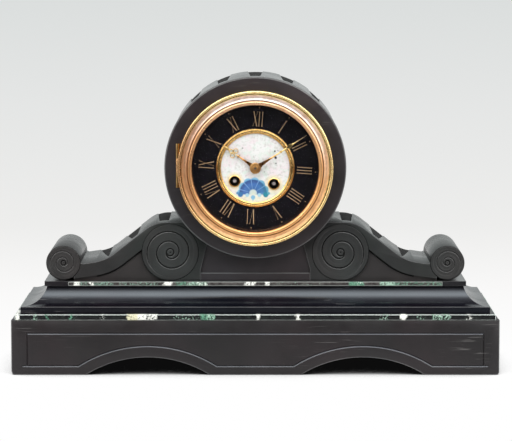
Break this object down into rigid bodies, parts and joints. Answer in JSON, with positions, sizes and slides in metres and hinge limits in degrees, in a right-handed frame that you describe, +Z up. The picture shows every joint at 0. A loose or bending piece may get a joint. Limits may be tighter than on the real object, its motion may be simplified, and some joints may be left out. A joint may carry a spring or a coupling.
{
  "type": "mantel clock",
  "caption": "Black slate mantel clock: drum head on scroll brackets and a stepped arched plinth, gilt hinged bezel, enamel dial, striking movement and pendulum.",
  "frame": {"origin": "on the floor under the middle of the plinth", "axes": "+Z up, -Y towards the viewer of the dial, +X to the right seen from the front"},
  "size_m": [0.432, 0.15, 0.2627],
  "materials": {
    "slate": "polished",
    "marble": "polished, veined green",
    "gilt": "polished gilt",
    "copper_gilt": "polished, reddish gilt",
    "brass": "fine brushed",
    "steel": "fine brushed",
    "glass": "clear",
    "dial_black": "polished",
    "enamel": "gloss enamel"
  },
  "bodies": {
    "case": {"plinth_front": "slate", "plinth_back": "slate", "plinth_sides": "slate", "lower_slab": "slate", "marble_strips": "marble", "hollow_moulding": "slate", "upper_slab": "slate", "body_front_panel": "slate", "body_back_panel": "slate", "scroll_left": "slate", "scroll_right": "slate", "drum_front_ring": "slate", "drum_shell": "slate", "drum_back_ring": "slate", "bezel_seat": "gilt", "hinge_pins": "gilt", "dial_plate": "brass", "chapter_ring": "dial_black", "hour_numerals": "gilt", "dial_inner_ring": "gilt", "enamel_centre": "enamel", "winding_collets": "gilt", "front_plate": "brass", "back_plate": "brass", "plate_pillars": "brass", "strike_bell": "brass", "suspension_cock": "brass", "movement_straps": "brass", "rear_door_frame": "brass"},
    "bezel_leaf": {"bezel_ring": "gilt", "sight_ring": "copper_gilt", "bezel_glass": "glass"},
    "back_door": {"rear_door": "brass"},
    "centre_arbor": {"centre_wheel": "brass", "cannon_pinion": "steel", "minute_hand": "gilt", "hand_collet": "brass"},
    "hour_pipe": {"hour_wheel": "brass", "hour_hand": "gilt"},
    "minute_arbor": {"minute_wheel": "brass"},
    "intermediate_arbor": {"intermediate_wheel": "brass"},
    "going_drum": {"going_barrel": "brass", "going_mainspring": "steel"},
    "third_arbor": {"third_wheel": "brass"},
    "escape_arbor": {"escape_wheel": "brass"},
    "pin_arbor": {"pin_wheel": "brass"},
    "count_arbor": {"count_wheel": "brass"},
    "strike_drum": {"strike_barrel": "brass", "strike_mainspring": "steel"},
    "locking_arbor": {"locking_wheel": "brass"},
    "fly_arbor": {"strike_fly": "brass"},
    "pendulum_assembly": {"pallet_anchor": "steel", "crutch": "steel", "pendulum": "steel", "pendulum_bob": "brass"},
    "hammer_assembly": {"strike_hammer": "brass"},
    "going_key_arbor": {"going_winding_arbor": "steel"},
    "strike_key_arbor": {"strike_winding_arbor": "steel"},
    "going_click_body": {"going_click": "steel"},
    "strike_click_body": {"strike_click": "steel"}
  },
  "joints": [
    {"name": "bezel_hinge", "type": "hinge", "parent": "case", "child": "bezel_leaf", "pos_m": [-0.0687, -0.0579, 0.1845], "axis": [0, 0, -1], "range_deg": [0, 110]},
    {"name": "door_hinge", "type": "hinge", "parent": "case", "child": "back_door", "pos_m": [0.055, 0.0523, 0.182], "axis": [0, 0, -1], "range_deg": [0, 110]},
    {"name": "centre_spin", "type": "hinge", "parent": "case", "child": "centre_arbor", "pos_m": [0, 0, 0.182], "axis": [0, 1, 0], "continuous": true},
    {"name": "hour_spin", "type": "hinge", "parent": "case", "child": "hour_pipe", "pos_m": [0, 0, 0.182], "axis": [0, 1, 0], "continuous": true},
    {"name": "minute_spin", "type": "hinge", "parent": "case", "child": "minute_arbor", "pos_m": [0.00084, 0, 0.19397], "axis": [0, 1, 0], "continuous": true},
    {"name": "intermediate_spin", "type": "hinge", "parent": "case", "child": "intermediate_arbor", "pos_m": [0.01304, 0, 0.1867], "axis": [0, 1, 0], "continuous": true},
    {"name": "going_barrel_spin", "type": "hinge", "parent": "case", "child": "going_drum", "pos_m": [0.0165, 0, 0.16781], "axis": [0, 1, 0], "continuous": true},
    {"name": "third_spin", "type": "hinge", "parent": "case", "child": "third_arbor", "pos_m": [-0.00689, 0, 0.19379], "axis": [0, 1, 0], "continuous": true},
    {"name": "escape_spin", "type": "hinge", "parent": "case", "child": "escape_arbor", "pos_m": [0.00141, 0, 0.20211], "axis": [0, 1, 0], "continuous": true},
    {"name": "pin_spin", "type": "hinge", "parent": "case", "child": "pin_arbor", "pos_m": [-0.01898, 0, 0.199], "axis": [0, 1, 0], "continuous": true},
    {"name": "count_spin", "type": "hinge", "parent": "case", "child": "count_arbor", "pos_m": [-0.02673, 0, 0.18751], "axis": [0, 1, 0], "continuous": true},
    {"name": "strike_barrel_spin", "type": "hinge", "parent": "case", "child": "strike_drum", "pos_m": [-0.01831, 0, 0.17025], "axis": [0, 1, 0], "continuous": true},
    {"name": "locking_spin", "type": "hinge", "parent": "case", "child": "locking_arbor", "pos_m": [-0.01003, 0, 0.2055], "axis": [0, 1, 0], "continuous": true},
    {"name": "fly_spin", "type": "hinge", "parent": "case", "child": "fly_arbor", "pos_m": [-0.01091, 0, 0.21383], "axis": [0, 1, 0], "continuous": true},
    {"name": "pendulum_swing", "type": "hinge", "parent": "case", "child": "pendulum_assembly", "pos_m": [0.00223, 0, 0.21396], "axis": [0, 1, 0], "range_deg": [-4, 4]},
    {"name": "hammer_lift", "type": "hinge", "parent": "case", "child": "hammer_assembly", "pos_m": [-0.0348, 0, 0.20047], "axis": [0, 1, 0], "range_deg": [0, 12], "stiffness_Nm_per_rad": 0.02},
    {"name": "going_wind", "type": "hinge", "parent": "case", "child": "going_key_arbor", "pos_m": [0.0165, 0, 0.16781], "axis": [0, 1, 0], "range_deg": [0, 2520]},
    {"name": "strike_wind", "type": "hinge", "parent": "case", "child": "strike_key_arbor", "pos_m": [-0.01831, 0, 0.17025], "axis": [0, 1, 0], "range_deg": [0, 2520]},
    {"name": "going_click_lift", "type": "hinge", "parent": "case", "child": "going_click_body", "pos_m": [0.0157, 0, 0.15634], "axis": [0, 1, 0], "range_deg": [0, 10], "stiffness_Nm_per_rad": 0.005},
    {"name": "strike_click_lift", "type": "hinge", "parent": "case", "child": "strike_click_body", "pos_m": [-0.01912, 0, 0.15878], "axis": [0, 1, 0], "range_deg": [0, 10], "stiffness_Nm_per_rad": 0.005}
  ],
  "couplings": [
    {"joint": "hour_spin", "follows": "centre_spin", "ratio": 0.083333},
    {"joint": "minute_spin", "follows": "centre_spin", "ratio": -0.33333},
    {"joint": "intermediate_spin", "follows": "centre_spin", "ratio": -0.16667},
    {"joint": "going_barrel_spin", "follows": "centre_spin", "ratio": 0.02381},
    {"joint": "third_spin", "follows": "centre_spin", "ratio": -12},
    {"joint": "escape_spin", "follows": "centre_spin", "ratio": 149.14},
    {"joint": "count_spin", "follows": "pin_spin", "ratio": -0.16667},
    {"joint": "strike_barrel_spin", "follows": "pin_spin", "ratio": 0.02381},
    {"joint": "locking_spin", "follows": "pin_spin", "ratio": -10.286},
    {"joint": "fly_spin", "follows": "pin_spin", "ratio": 88.163}
  ]
}
